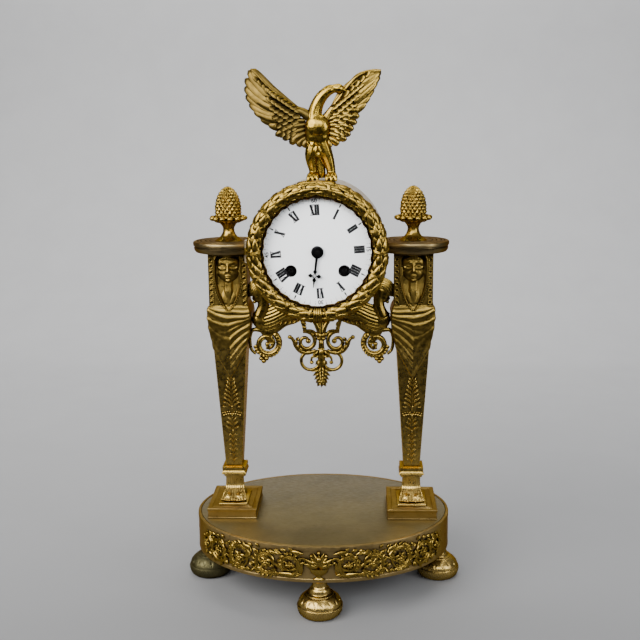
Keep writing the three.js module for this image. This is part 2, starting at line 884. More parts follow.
function drapery(x, y) {
  const rows = bustStations.length - 1;
  const tube = new THREE.CylinderGeometry(1, 1, 1, bust.sides, rows);
  const spots = tube.attributes.position;
  for (let i = 0; i < spots.count; i += 1) {
    const row = Math.round((spots.getY(i) + 0.5) * rows);
    const [height, half] = bustStations[row];
    const inside = Math.hypot(spots.getX(i), spots.getZ(i)) < weldDistance;
    const angle = Math.atan2(spots.getZ(i), spots.getX(i));
    const [dx, dy] = inside ? [0, 0] : squarish(angle, half, half * (row ? bust.depthShare : 1));
    spots.setXYZ(i, x + dx, y + dy, height);
  }
  return solid(tube);
}

function addBust(side) {
  const [x, y] = [side * hermX, herm.depthOffset];
  const top = discBottom;
  const front = y - headdress.halfDepth;
  const from = shoulderHeight - clearance;
  const hood = blockBetween([x - headdress.halfWidth, front, from],
    [x + headdress.halfWidth, y + headdress.halfDepth, top]);
  const recess = blockBetween([x - headdress.recessHalfWidth, front - overrun, shoulderHeight],
    [x + headdress.recessHalfWidth, front + headdress.recessDepth, discBottom - headdress.browDrop]);
  const face = egg([head.radius, head.radius, head.halfHeight], [x, y - head.forward, headHeight]);
  const neck = upright(head.neckRadius, from, headHeight, soles.ankleSides, x, y - head.forward);
  const noseY = y - head.forward - head.radius;
  const nose = limb([
    [x, noseY + head.noseRadius, headHeight + head.noseLength / 2, head.noseRadius / 2],
    [x, noseY, headHeight - head.noseLength / 2, head.noseRadius],
  ], nutSides, 1);
  const parts = [drapery(x, y), hood.subtract(recess), neck, face, nose];
  addHermPiece('herm_bust', side, join(parts), 'gilt');
}

function drumClearance() {
  const from = drum.front - bezel.depth - overrun;
  return axle(drum.radius + clearance, from, disc.radius + drum.back, drum.sides);
}

function addDisc(side) {
  const outline = outlineOf(disc.outlineShares, disc.radius, disc.thickness, discBottom);
  let plate = solid(turnedSolid(outline, disc.sides).translate(side * hermX, herm.depthOffset, 0));
  const reach = drum.radius + drumBolt.grip + clearance;
  const bore = boltBar(side, drumBolt.radius + clearance, drum.radius - overrun, reach);
  plate = plate.subtract(drumClearance()).subtract(bore);
  addHermPiece('abacus_disc', side, plate, 'darkGilt');
}

// A bar along X through the drum's wall, from one reach to another on one side
function boltBar(side, radius, from, to, sides = boreSides) {
  const bar = new THREE.CylinderGeometry(radius, radius, to - from, sides).rotateZ(Math.PI / 2);
  return solid(bar.translate(side * (from + to) / 2, herm.depthOffset, boltHeight));
}

function addDrumBolt(side) {
  const inside = drum.radius - drum.wall - 2 * clearance;
  const head = boltBar(side, drumBolt.headRadius, inside - drumBolt.headThickness, inside);
  const bar = boltBar(side, drumBolt.radius, inside - clearance, drum.radius + drumBolt.grip);
  addPiece(`drum_bolt_${side < 0 ? 'left' : 'right'}`, head.add(bar), 'steel');
}

function addFinial(side) {
  const bottom = discBottom + disc.thickness;
  const outline = outlineOf(finial.outlineShares, finial.radius, finial.height, bottom);
  const cone = turned([[0, bottom], ...outline, [0, bottom + finial.height]], finial.sides);
  addHermPiece('pine_cone', side, solid(cone.translate(side * hermX, herm.depthOffset, 0)), 'gilt');
}

function addTieRod(side) {
  const [x, y] = [side * hermX, herm.depthOffset];
  const name = side < 0 ? 'left' : 'right';
  addPiece(`tie_rod_${name}`, upright(tieRod.radius, rodBottom, rodTop, boreSides, x, y), 'steel');
  const nutTop = baseTop - base.topPlateThickness;
  const nut = upright(tieRod.nutRadius, nutTop - tieRod.nutThickness, nutTop, nutSides, x, y);
  const bore = upright(tieRod.radius + clearance, rodBottom, nutTop + overrun, boreSides, x, y);
  addPiece(`rod_nut_${name}`, nut.subtract(bore), 'brass');
}

// A hinge barrel along Z at the drum's side, with an arm to what carries it
function knuckle(axisY, from, to, arm) {
  const x = -hingeX;
  const [low, high] = [drum.centreHeight + from, drum.centreHeight + to];
  const barrel = upright(hinge.barrelRadius, low, high, boreSides, x, axisY);
  const leaf = blockBetween([arm[0], arm[1], low], [arm[2], arm[3], high]);
  const bore = hinge.pinRadius + clearance;
  return barrel.add(leaf).subtract(upright(bore, low - overrun, high + overrun, boreSides, x, axisY));
}

const hingeX = bezel.outerRadius + hinge.standOff;
const bezelHingeY = drum.front + hinge.leafReach;
const doorHingeY = drum.back + hinge.leafReach;
const middleKnuckle = hinge.knuckleLength / 2;
const outerKnuckles = [
  [middleKnuckle + clearance, middleKnuckle + clearance + hinge.knuckleLength],
  [-middleKnuckle - clearance - hinge.knuckleLength, -middleKnuckle - clearance],
];

// A ring or disc about the drum's axis, from an outline of [radius, place along Y]
function round(outline, sides) {
  return solid(alongY(turnedRing(outline, sides)));
}

function roundPlate(radius, front, back, sides) {
  return solid(alongY(turnedSolid([[radius, front], [radius, back]], sides)));
}

function addDrumCase() {
  const inner = drum.radius - drum.wall;
  const seatInner = inner - drum.seatWidth;
  const seatBack = drum.seatY + drum.seatThickness;
  let shell = round([
    [drum.radius, drum.front], [drum.radius, drum.back], [inner, drum.back], [inner, seatBack],
    [seatInner, seatBack], [seatInner, drum.seatY], [inner, drum.seatY], [inner, drum.front],
  ], drum.sides);
  const half = drum.slotWidth / 2;
  const bottom = drum.centreHeight - drum.radius;
  shell = shell.subtract(blockBetween([-half, drum.slotFront, bottom - overrun],
    [half, drum.slotBack, bottom + drum.wall + overrun]));
  const leafEdge = -drum.radius + drum.wall / 2;
  for (const [from, to] of outerKnuckles) {
    const frontArm = [-hingeX, bezelHingeY, leafEdge, bezelHingeY + hinge.leafDepth];
    const backArm = [-hingeX, drum.back - hinge.leafReach, leafEdge, doorHingeY];
    shell = shell.add(knuckle(bezelHingeY, from, to, frontArm));
    shell = shell.add(knuckle(doorHingeY, from, to, backArm));
  }
  const [boltFrom, boltTo] = [inner - overrun, drum.radius + overrun];
  for (const side of [-1, 1]) {
    shell = shell.subtract(boltBar(side, drumBolt.radius + clearance, boltFrom, boltTo));
  }
  const studBore = eagle.studRadius + clearance;
  const studX = eagle.rightFootShare * eagle.reach;
  const holeFrom = drumTop - 2 * overrun - drum.wall;
  const hole = upright(studBore, holeFrom, drumTop + overrun, boreSides, studX, eagle.depthOffset);
  addPiece('drum_case', shell.subtract(hole), 'brass');
}

function addHingePins() {
  const reach = outerKnuckles[0][1] + clearance;
  const [low, high] = [drum.centreHeight - reach, drum.centreHeight + reach];
  for (const [name, y] of [['bezel_hinge_pin', bezelHingeY], ['door_hinge_pin', doorHingeY]]) {
    addPiece(name, upright(hinge.pinRadius, low, high, boreSides, -hingeX, y), 'steel');
  }
}

const bezelBack = drum.front - clearance;
const bezelFront = bezelBack - bezel.depth;
const glassFront = bezelFront + bezel.glassSetBack + clearance;

function addBezel() {
  const [outer, sight] = [bezel.outerRadius, bezel.sightRadius];
  const groove = bezel.glassRadius + clearance;
  const band = outer - groove;
  const grooveBack = glassFront + bezel.glassThickness + clearance;
  const ring = turnedRing([
    [outer - 2 * clearance, bezelBack],
    [outer, bezelBack - bezel.depth * bezel.widestShare],
    [outer - band * bezel.shoulderShare, bezelFront + bezel.depth * bezel.shoulderShare],
    [outer - band * bezel.widestShare, bezelFront],
    [sight, glassFront - 3 * clearance],
    [sight, glassFront - clearance], [groove, glassFront - clearance], [groove, grooveBack],
    [bezel.glassRadius - bezel.glassLedge, grooveBack],
    [bezel.rearInnerRadius, grooveBack + bezel.glassLedge], [bezel.rearInnerRadius, bezelBack],
  ], bezel.sides);
  const spots = ring.attributes.position;
  for (let i = 0; i < spots.count; i += 1) {
    const [x, z] = [spots.getX(i), spots.getY(i)];
    const radius = Math.hypot(x, z);
    if (radius < groove + band / 3) continue;
    const cut = bezel.leafCut * (1 - Math.cos(bezel.leaves * Math.atan2(z, x))) / 2;
    spots.setXY(i, x * (radius - cut) / radius, z * (radius - cut) / radius);
  }
  const arm = [-hingeX - hinge.standOff, bezelBack - hinge.leafDepth, leafInner(), bezelBack];
  const lug = knuckle(bezelHingeY, -middleKnuckle, middleKnuckle, arm);
  addPiece('bezel_wreath', solid(alongY(ring)).add(lug), 'gilt');
  const glass = roundPlate(bezel.glassRadius, glassFront, glassFront + bezel.glassThickness, bezel.sides);
  addPiece('bezel_glass', glass, 'glass');
}

function leafInner() {
  return -bezel.outerRadius + hinge.leafDepth * hinge.biteShare;
}

function addDial() {
  const back = dial.edgeY + dial.thickness;
  const front = Array.from({ length: dial.domeSteps }, (_, i) => {
    const share = (i + 1) / dial.domeSteps;
    return [share * dial.radius, dial.edgeY - dial.dome * (1 - share * share)];
  });
  const crown = [0, dial.edgeY - dial.dome];
  let plate = solid(alongY(turned([crown, ...front, [dial.radius, back], [0, back]], dial.sides)));
  const cutFront = dial.edgeY - overrun;
  plate = plate.subtract(axle(dial.centreHole, cutFront, back + overrun, dial.sides / 2));
  for (const side of [-1, 1]) {
    const x = side * winding.sideOffset;
    const hole = axle(dial.windingHole, cutFront, back + overrun, dial.sides / 2, x, -winding.drop);
    plate = plate.subtract(hole);
  }
  for (const [x, z] of dialFeet) {
    plate = plate.add(axle(dial.feetRadius, back - clearance, frontPlateBack, boreSides, x, z));
  }
  addPiece('dial', plate, 'enamel');
}

function circlePlaces(radius, count, firstAngle) {
  return Array.from({ length: count }, (_, i) => {
    const angle = degrees(firstAngle + 360 * i / count);
    return [radius * Math.cos(angle), radius * Math.sin(angle)];
  });
}

const dialFeet = circlePlaces(dial.feetCircle, dial.feetCount, -90);

function addBackDoor() {
  const front = drum.back + clearance;
  const rimBack = front + backDoor.rimDepth;
  const innerRim = backDoor.radius - backDoor.rimWall;
  const half = innerRim / 2;
  const outline = [
    [half, front + backDoor.dome], [innerRim, front], [backDoor.radius, front],
    [backDoor.radius, rimBack], [innerRim, rimBack], [innerRim, front + backDoor.thickness],
    [half, front + backDoor.thickness + backDoor.dome],
  ];
  const door = solid(alongY(turnedSolid(outline, backDoor.sides)));
  const arm = [-hingeX, front, -backDoor.radius + backDoor.rimWall / 2, front + backDoor.thickness];
  const lug = knuckle(doorHingeY, -middleKnuckle, middleKnuckle, arm);
  addPiece('back_door', door.add(lug), 'brass');
}

// The place at two given distances from two centres, on the upper side
function meetingPlace([ax, az], reachA, [bx, bz], reachB) {
  const apart = Math.hypot(bx - ax, bz - az);
  const along = (reachA ** 2 - reachB ** 2 + apart ** 2) / (2 * apart);
  const off = Math.sqrt(Math.max(reachA ** 2 - along ** 2, 0));
  const [ux, uz] = [(bx - ax) / apart, (bz - az) / apart];
  const turn = ux > 0 ? 1 : -1;
  return [ax + ux * along - uz * off * turn, az + uz * along + ux * off * turn];
}

const centre = [0, 0];
const goingPlace = [winding.sideOffset, -winding.drop];
const strikePlace = [-winding.sideOffset, -winding.drop];
const barrelMesh = springBarrel.wheelRadius + secondWheel.pinionRadius + clearance;
const centreMesh = secondWheel.radius + centreArbor.pinionRadius + clearance;
const secondPlace = meetingPlace(centre, centreMesh, goingPlace, barrelMesh);
const countPlace = meetingPlace(centre, centreMesh, strikePlace, barrelMesh);
const thirdReach = centreArbor.wheelRadius + thirdWheel.pinionRadius + clearance;
const thirdPlace = [
  thirdReach * Math.cos(degrees(thirdWheel.angle)),
  thirdReach * Math.sin(degrees(thirdWheel.angle)),
];
const escapeReach = thirdWheel.radius + escapement.pinionRadius + clearance;
const escapePlace = [0, thirdPlace[1] + Math.sqrt(escapeReach ** 2 - thirdPlace[0] ** 2)];
const anchorPlace = [0, escapePlace[1] + escapement.anchorRise];
const hammerPlace = [hammer.pivotX, hammer.pivotZ];
const pillarPlaces = movement.pillarAngles.map((angle) => [
  movement.pillarCircle * Math.cos(degrees(angle)), movement.pillarCircle * Math.sin(degrees(angle)),
]);
const minuteReach = centreArbor.cannonPinionRadius + motionWork.minuteWheelRadius + clearance;
const minutePlace = [
  minuteReach * Math.cos(degrees(motionWork.minuteAngle)),
  minuteReach * Math.sin(degrees(motionWork.minuteAngle)),
];
const cannonLayer = frontPlateFront - clearance - motionWork.layerThickness;
const hourLayer = cannonLayer - motionWork.layerGap - motionWork.layerThickness;
const arborBack = backPlateBack - clearance;
const barrelFront = frontPlateBack + springBarrel.setBack;
const barrelBack = barrelFront + springBarrel.length;

// Every arbor that runs through both plates: its place and its bearing hole
const arbors = [
  [centre, centreArbor.radius], [goingPlace, winding.arborRadius], [strikePlace, winding.arborRadius],
  [secondPlace, secondWheel.arborRadius], [countPlace, secondWheel.arborRadius],
  [thirdPlace, thirdWheel.arborRadius], [escapePlace, escapement.arborRadius],
  [anchorPlace, escapement.anchorArborRadius], [hammerPlace, hammer.arborRadius],
];

function boredPlate(front) {
  const back = front + movement.plateThickness;
  let plate = roundPlate(movement.plateRadius, front, back, movement.plateSides);
  for (const [[x, z], radius] of arbors) {
    plate = plate.subtract(axle(radius + clearance, front - overrun, back + overrun, boreSides, x, z));
  }
  return plate;
}

function addPlates() {
  let front = boredPlate(frontPlateFront);
  for (const [x, z] of dialFeet) {
    const bore = dial.feetRadius + clearance;
    const [from, to] = [frontPlateFront - overrun, frontPlateBack + overrun];
    front = front.subtract(axle(bore, from, to, boreSides, x, z));
  }
  let back = boredPlate(backPlateFront);
  for (const [x, z] of pillarPlaces) {
    const pinEnd = backPlateFront + movement.pillarPinLength;
    const from = frontPlateBack - clearance;
    front = front.add(axle(movement.pillarRadius, from, backPlateFront, boreSides, x, z));
    front = front.add(axle(movement.pillarPinRadius, backPlateFront - clearance, pinEnd, boreSides, x, z));
    const bore = movement.pillarPinRadius + clearance;
    back = back.subtract(axle(bore, backPlateFront - overrun, backPlateBack + overrun, boreSides, x, z));
  }
  const studFront = hourLayer - clearance;
  const [mx, mz] = minutePlace;
  front = front.add(axle(motionWork.studRadius, studFront, frontPlateFront + clearance, boreSides, mx, mz));
  addPiece('front_plate', front, 'brass');
  addPiece('back_plate', back, 'brass');
}

function addWindingArbor(name, [x, z]) {
  const ratchetBack = frontPlateFront - clearance;
  const ratchetFront = ratchetBack - winding.ratchetThickness;
  const reach = winding.collarRadius;
  const collarFrom = barrelBack + springBarrel.wheelThickness + clearance;
  const arbor = join([
    axle(winding.arborRadius, winding.frontEnd + reach, arborBack, boreSides, x, z),
    axle(winding.arborRadius, winding.frontEnd, winding.frontEnd + reach + clearance, squareSides, x, z),
    axle(reach, frontPlateBack + clearance, barrelFront - clearance, boreSides, x, z),
    axle(reach, collarFrom, backPlateFront - clearance, boreSides, x, z),
    wheel(winding.ratchetRadius, winding.ratchetTeeth, ratchetFront, winding.ratchetThickness, x, z),
  ]);
  addPiece(name, arbor, 'steel');
}

function addSpringBarrel(name, [x, z]) {
  const wheelBack = barrelBack + springBarrel.wheelThickness;
  const drumBody = axle(springBarrel.radius, barrelFront, barrelBack + clearance, springBarrel.sides, x, z);
  const thickness = springBarrel.wheelThickness;
  const rim = wheel(springBarrel.wheelRadius, springBarrel.teeth, barrelBack, thickness, x, z);
  const bore = winding.arborRadius + clearance;
  const way = axle(bore, barrelFront - overrun, wheelBack + overrun, boreSides, x, z);
  addPiece(name, drumBody.add(rim).subtract(way), 'brass');
}

// The wheel that a barrel drives: its pinion stands at the barrel's rim
function barrelPinion([x, z]) {
  const thickness = springBarrel.wheelThickness;
  return wheel(secondWheel.pinionRadius, centreArbor.pinionTeeth, barrelBack, thickness, x, z);
}

function addTrains() {
  const secondFront = frontPlateBack + secondWheel.thickness;
  const [sx, sz] = secondPlace;
  addPiece('second_wheel', join([
    axle(secondWheel.arborRadius, frontPlateFront + clearance, arborBack, boreSides, sx, sz),
    wheel(secondWheel.radius, secondWheel.teeth, secondFront, secondWheel.thickness, sx, sz),
    barrelPinion(secondPlace),
  ]), 'brass');
  const wheelFront = backPlateFront - centreArbor.wheelSetForward - centreArbor.wheelThickness;
  const cannonFront = centreArbor.frontEnd + centreArbor.squareLength;
  addPiece('minute_arbor', join([
    axle(centreArbor.radius, centreArbor.frontEnd, arborBack),
    axle(centreArbor.cannonRadius, cannonFront, frontPlateFront - clearance),
    wheel(centreArbor.cannonPinionRadius, centreArbor.cannonPinionTeeth, cannonLayer,
      motionWork.layerThickness),
    wheel(centreArbor.pinionRadius, centreArbor.pinionTeeth, secondFront, secondWheel.thickness),
    wheel(centreArbor.wheelRadius, centreArbor.teeth, wheelFront, centreArbor.wheelThickness),
  ]), 'steel');
  const thirdFront = frontPlateBack + thirdWheel.setBack;
  const [tx, tz] = thirdPlace;
  addPiece('third_wheel', join([
    axle(thirdWheel.arborRadius, frontPlateFront + clearance, arborBack, boreSides, tx, tz),
    wheel(thirdWheel.radius, thirdWheel.teeth, thirdFront, thirdWheel.thickness, tx, tz),
    wheel(thirdWheel.pinionRadius, centreArbor.pinionTeeth, wheelFront, centreArbor.wheelThickness, tx, tz),
  ]), 'brass');
  const escapeFront = frontPlateBack + escapement.setBack;
  const [ex, ez] = escapePlace;
  addPiece('escape_wheel', join([
    axle(escapement.arborRadius, frontPlateFront + clearance, arborBack, boreSides, ex, ez),
    wheel(escapement.wheelRadius, escapement.teeth, escapeFront, escapement.thickness, ex, ez),
    wheel(escapement.pinionRadius, centreArbor.pinionTeeth, thirdFront, thirdWheel.thickness, ex, ez),
  ]), 'brass');
  const countFront = backPlateBack + clearance;
  const [cx, cz] = countPlace;
  addPiece('count_wheel', join([
    axle(secondWheel.arborRadius, frontPlateFront + clearance, countFront + countWheel.thickness,
      boreSides, cx, cz),
    wheel(countWheel.radius, countWheel.notches, countFront, countWheel.thickness, cx, cz),
    barrelPinion(countPlace),
  ]), 'brass');
}

function addMotionWork() {
  const [x, z] = minutePlace;
  const layer = motionWork.layerThickness;
  const pinionThickness = cannonLayer - hourLayer + clearance;
  const studBore = motionWork.studRadius + clearance;
  const minuteWheel = join([
    wheel(motionWork.minuteWheelRadius, motionWork.minuteTeeth, cannonLayer, layer, x, z),
    wheel(motionWork.minutePinionRadius, motionWork.pinionTeeth, hourLayer, pinionThickness, x, z),
  ]);
  const studHole = axle(studBore, hourLayer - overrun, frontPlateBack, boreSides, x, z);
  addPiece('minute_wheel', minuteWheel.subtract(studHole), 'brass');
  const pipe = axle(motionWork.hourPipeRadius, motionWork.hourPipeFront, hourLayer + layer, boreSides * 2);
  const hourWheel = wheel(motionWork.hourWheelRadius, motionWork.hourTeeth, hourLayer, layer).add(pipe);
  const pipeInner = centreArbor.cannonRadius + clearance;
  const pipeBore = axle(pipeInner, centreArbor.frontEnd, frontPlateBack, boreSides);
  addPiece('hour_wheel', hourWheel.subtract(pipeBore), 'brass');
}

function addEscapementParts() {
  const anchorFront = frontPlateBack + escapement.setBack;
  const crutchFront = backPlateBack + escapement.crutchSetBack;
  const crutchBack = crutchFront + escapement.crutchThickness;
  const [x, z] = [anchorPlace[0], drum.centreHeight + anchorPlace[1]];
  const half = escapement.armHalfWidth;
  const arms = ribbon([
    [x - escapement.palletSpread, z - escapement.palletDrop], [x, z],
    [x + escapement.palletSpread, z - escapement.palletDrop],
  ], () => half);
  const crutch = blockBetween([x - escapement.crutchHalfWidth, crutchFront, z - escapement.crutchLength],
    [x + escapement.crutchHalfWidth, crutchBack, z]);
  addPiece('pallet_anchor', join([
    axle(escapement.anchorArborRadius, frontPlateFront + clearance, crutchBack, boreSides, ...anchorPlace),
    solid(standing(arms, anchorFront, escapement.thickness)),
    crutch,
    axle(escapement.crutchHalfWidth, crutchFront, backPlateBack + cock.springSetBack, boreSides,
      anchorPlace[0], anchorPlace[1] - escapement.crutchLength),
  ]), 'steel');
  const base = drum.centreHeight + cock.rise;
  const cockHalf = cock.width / 2;
  const bracketPlate = blockBetween([-cockHalf, backPlateBack, base],
    [cockHalf, backPlateBack + cock.depth, base + cock.height]);
  const crutchWay = blockBetween(
    [-cockHalf / 2, backPlateBack + cock.springSetBack - overrun, base - overrun],
    [cockHalf / 2, backPlateBack + cock.depth + overrun, base + cock.height / 2]);
  addPiece('suspension_cock', bracketPlate.subtract(crutchWay), 'brass');
}

function addBell() {
  const crown = bell.mouth + bell.depth;
  const wall = bell.wall;
  const outer = [];
  const inner = [];
  for (let i = 0; i <= bell.steps; i += 1) {
    const angle = Math.PI / 2 * i / bell.steps;
    outer.push([bell.radius * Math.cos(angle), bell.mouth + bell.depth * Math.sin(angle)]);
    const [across, deep] = [(bell.radius - wall) * Math.cos(angle), (bell.depth - wall) * Math.sin(angle)];
    inner.unshift([across, bell.mouth + deep]);
  }
  const shell = solid(alongY(turnedRing([...outer, ...inner], bell.sides)).translate(0, 0, -bell.drop));
  const bore = axle(bell.postRadius + clearance, bell.mouth, crown + overrun, boreSides, 0, -bell.drop);
  addPiece('bell', shell.subtract(bore), 'bellMetal');
  const collarBack = crown - wall - bell.crownFall;
  const nutFront = crown + clearance;
  const armFront = bell.mouth + bell.armSetBack;
  const armBack = armFront + bell.armThickness;
  const footing = [bell.footSide, -bell.footDrop];
  const arm = ribbon([[footing[0], drum.centreHeight + footing[1]], [0, drum.centreHeight - bell.drop]],
    () => bell.armHalfWidth);
  addPiece('bell_stand', join([
    axle(bell.collarRadius, backPlateBack, backPlateBack + bell.collarThickness, boreSides, ...footing),
    axle(bell.armHalfWidth, backPlateBack, armBack, boreSides, ...footing),
    solid(standing(arm, armFront, bell.armThickness)),
    axle(bell.postRadius, armFront, nutFront + bell.collarThickness, boreSides, 0, -bell.drop),
    axle(bell.collarRadius, collarBack - bell.collarThickness, collarBack, boreSides, 0, -bell.drop),
    axle(bell.collarRadius, nutFront, nutFront + bell.collarThickness, nutSides, 0, -bell.drop),
  ]), 'steel');
}

function addHammer() {
  const front = bell.mouth + hammer.setBack;
  const from = [hammer.pivotX, drum.centreHeight + hammer.pivotZ];
  const to = [hammer.headX, drum.centreHeight + hammer.headZ];
  const arm = ribbon([from, to], () => hammer.armHalfWidth);
  addPiece('strike_hammer', join([
    axle(hammer.arborRadius, frontPlateFront + clearance, front + hammer.armThickness,
      boreSides, ...hammerPlace),
    solid(standing(arm, front, hammer.armThickness)),
    axle(hammer.headRadius, front, front + hammer.headLength, boreSides, hammer.headX, hammer.headZ),
  ]), 'steel');
}

// The hour hand: a hub, a thin stem, an open four-lobed cross and a short point
function addHourHand() {
  const front = hourHand.back - hourHand.hubThickness;
  const bladeFront = hourHand.back - hourHand.thickness;
  const centreZ = drum.centreHeight;
  const reach = hourHand.length * hourHand.crossShare;
  const blade = (shape) => solid(standing(shape, bladeFront, hourHand.thickness));
  const roundBit = (radius, x, z, sides) => axle(radius, bladeFront, hourHand.back, sides, x, z);
  const stemTop = centreZ + reach - hourHand.crossRadius;
  const stem = ribbon([[0, centreZ], [0, stemTop]], () => hourHand.stemHalfWidth);
  const point = ribbon([[0, centreZ + reach + hourHand.crossRadius], [0, centreZ + hourHand.length]],
    (share) => THREE.MathUtils.lerp(hourHand.stemHalfWidth * 2, hourHand.tipHalfWidth, share));
  const lobes = circlePlaces(hourHand.crossRadius, hourHand.lobes, 0).map(([x, z]) =>
    roundBit(hourHand.petalRadius, x, reach + z, boreSides));
  const openRadius = hourHand.crossRadius - hourHand.petalRadius * hourHand.crossShare;
  const open = roundBit(openRadius, 0, reach, squareSides);
  const heart = roundBit(hourHand.crossRadius, 0, reach, boreSides).subtract(open);
  const pipeBore = axle(motionWork.hourPipeRadius + clearance,
    front + hourHand.coverThickness, hourHand.back + overrun, boreSides * 2);
  const cannonBore = axle(centreArbor.cannonRadius + clearance, front - overrun, hourHand.back + overrun);
  const hub = axle(hourHand.hubRadius, front, hourHand.back, boreSides * 2);
  const hand = join([hub, blade(stem), blade(point), heart, ...lobes]);
  const turnedHand = hand.subtract(pipeBore).subtract(cannonBore);
  addPiece('hour_hand', turnedAboutAxis(turnedHand, hourHand.turnAngle), 'blackSteel');
}

// Turns a solid clockwise about the drum's axis, as seen from the front
function turnedAboutAxis(piece, turn) {
  const back = piece.getMesh();
  const geometry = new THREE.BufferGeometry();
  geometry.setAttribute('position', new THREE.BufferAttribute(back.vertProperties, 3));
  geometry.setIndex(new THREE.BufferAttribute(back.triVerts, 1));
  geometry.translate(0, 0, -drum.centreHeight).rotateY(degrees(turn)).translate(0, 0, drum.centreHeight);
  return solid(geometry);
}

function eaglePlace([x, y, z]) {
  return [x * eagle.reach, eagle.depthOffset + y * eagle.reach, drumTop + z * eagle.reach];
}

function eagleLimb(stations, grow, sides, steps) {
  const real = stations.map(([x, y, z, radius]) => [...eaglePlace([x, y, z]), radius * eagle.reach + grow]);
  return limb(real, sides, steps);
}

function eagleEgg(placeShares, sizeShares, grow) {
  const sizes = sizeShares.map((share) => share * eagle.reach + grow);
  return egg(sizes, eaglePlace(placeShares), boreSides, roundingSteps);
}

function eagleFigure(grow) {
  const torsoSizes = [eagle.torsoHalfWidth, eagle.torsoHalfDepth, eagle.torsoHalfHeight];
  const torsoPlace = [eagle.torsoShift, eagle.depthOffset, drumTop + eagle.torsoRise];
  return join([
    egg(torsoSizes.map((size) => size + grow), torsoPlace),
    eagleLimb(neckShares, grow, boreSides, eagle.neckSteps),
    eagleEgg(headPlaceShares, headSizeShares, grow),
    eagleLimb(beakShares, grow, nutSides, 1),
    eagleLimb(tailShares, grow, boreSides, tailShares.length - 1),
    eagleLimb(leftLegShares, grow, boreSides, leftLegShares.length - 1),
    eagleLimb(rightLegShares, grow, boreSides, rightLegShares.length - 1),
    eagleEgg(leftFootShares, footSizeShares, grow),
    eagleEgg(rightFootShares, footSizeShares, grow),
  ]);
}

function addEagle() {
  const studX = eagle.rightFootShare * eagle.reach;
  const edge = studX + eagle.nutRadius;
  const inner = drum.radius - drum.wall;
  const nutTop = drum.centreHeight + Math.sqrt(inner ** 2 - edge ** 2) - clearance;
  const studEnd = nutTop - eagle.nutThickness - clearance;
  const stud = upright(eagle.studRadius, studEnd, drumTop + overrun, boreSides, studX, eagle.depthOffset);
  const seat = axle(drum.radius + clearance, drum.front - bezel.depth, drum.back, drum.sides);
  addPiece('eagle_body', eagleFigure(0).subtract(seat).add(stud), 'gilt');
  const nutFrom = nutTop - eagle.nutThickness;
  const nut = upright(eagle.nutRadius, nutFrom, nutTop, nutSides, studX, eagle.depthOffset);
  const bore = eagle.studRadius + clearance;
  const way = upright(bore, studEnd - overrun, drumTop, boreSides, studX, eagle.depthOffset);
  addPiece('eagle_nut', nut.subtract(way), 'brass');
  addWing('eagle_wing_left', leftWingShares);
  addWing('eagle_wing_right', rightWingShares);
}

function addWing(name, shares) {
  const outline = shares.map(([x, z]) => [x * eagle.reach, drumTop + z * eagle.reach]);
  const front = eagle.depthOffset - eagle.wingThickness / 2;
  const plate = standing(shapeOf(outline), front, eagle.wingThickness);
  const spots = plate.attributes.position;
  for (let i = 0; i < spots.count; i += 1) {
    const share = spots.getX(i) / eagle.reach;
    spots.setY(i, spots.getY(i) + eagle.wingSweep * share * share);
  }
  addPiece(name, solid(plate).subtract(eagleFigure(clearance)), 'gilt');
}

// Angles of a scroll on the right, or mirrored for the left
function mirroredAngles(side, angles) {
  return angles.map((angle) => (side > 0 ? angle : 180 - angle));
}

// A flat strap of the openwork under the drum, in the plane of the columns
function strap(line, halfWidthAt) {
  const front = bracket.plane - bracket.ribbonThickness / 2;
  return solid(standing(ribbon(line, halfWidthAt), front, bracket.ribbonThickness));
}

function boss(radius, x, z, thickness, sides = boreSides) {
  const from = bracket.plane - thickness / 2;
  return axle(radius, from, from + thickness, sides, x, z - drum.centreHeight);
}

function addGriffin(side) {
  const front = bracket.plane - bracket.thickness / 2;
  const mirrored = griffinBodyShares.map(([x, z]) =>
    [side * x * griffin.reach, drum.centreHeight + z * griffin.reach]);
  const flank = solid(standing(shapeOf(mirrored), front, bracket.thickness));
  const coil = scrollLine(side * griffin.scrollX, belowDrum(griffin.scrollDrop), griffin.scrollRadius,
    griffin.scrollRadius / 3, mirroredAngles(side, griffin.coilAngles), griffin.coilSteps);
  const outerX = hermInnerFace(belowDrum(griffin.outerScrollDrop)) - griffin.outerScrollRadius
    - griffin.outerScrollHalfWidth - clearance;
  const crescent = scrollLine(side * outerX, belowDrum(griffin.outerScrollDrop),
    griffin.outerScrollRadius, griffin.outerScrollRadius,
    mirroredAngles(side, griffin.crescentAngles), griffin.crescentSteps);
  const neckLine = [
    [side * griffin.neckX, belowDrum(griffin.neckDrop)],
    [side * griffin.headX, belowDrum(griffin.headDrop)],
  ];
  const figure = join([
    flank,
    strap(coil, (share) => griffin.scrollHalfWidth * (1 - share / 2)),
    strap(crescent, () => griffin.outerScrollHalfWidth),
    strap(neckLine, () => griffin.neckHalfWidth),
    strap([[side * griffin.scrollX, belowDrum(griffin.scrollDrop)],
      [side * griffin.budX, belowDrum(griffin.budDrop)]], () => griffin.scrollHalfWidth),
    boss(griffin.eyeRadius, side * griffin.scrollX, belowDrum(griffin.scrollDrop), bracket.thickness),
    egg([griffin.headRadius, griffin.headHalfDepth, griffin.headRadius],
      [side * griffin.headX, bracket.plane, belowDrum(griffin.headDrop)], boreSides, roundingSteps),
    egg([griffin.budRadius, griffin.budHalfDepth, griffin.budRadius],
      [side * griffin.budX, bracket.plane, belowDrum(griffin.budDrop)], boreSides, roundingSteps),
  ]);
  const name = side < 0 ? 'griffin_bracket_left' : 'griffin_bracket_right';
  addPiece(name, figure.subtract(drumClearance()), 'gilt');
}

// A height given by its drop below the centre of the drum
function belowDrum(drop) {
  return drum.centreHeight - drop;
}

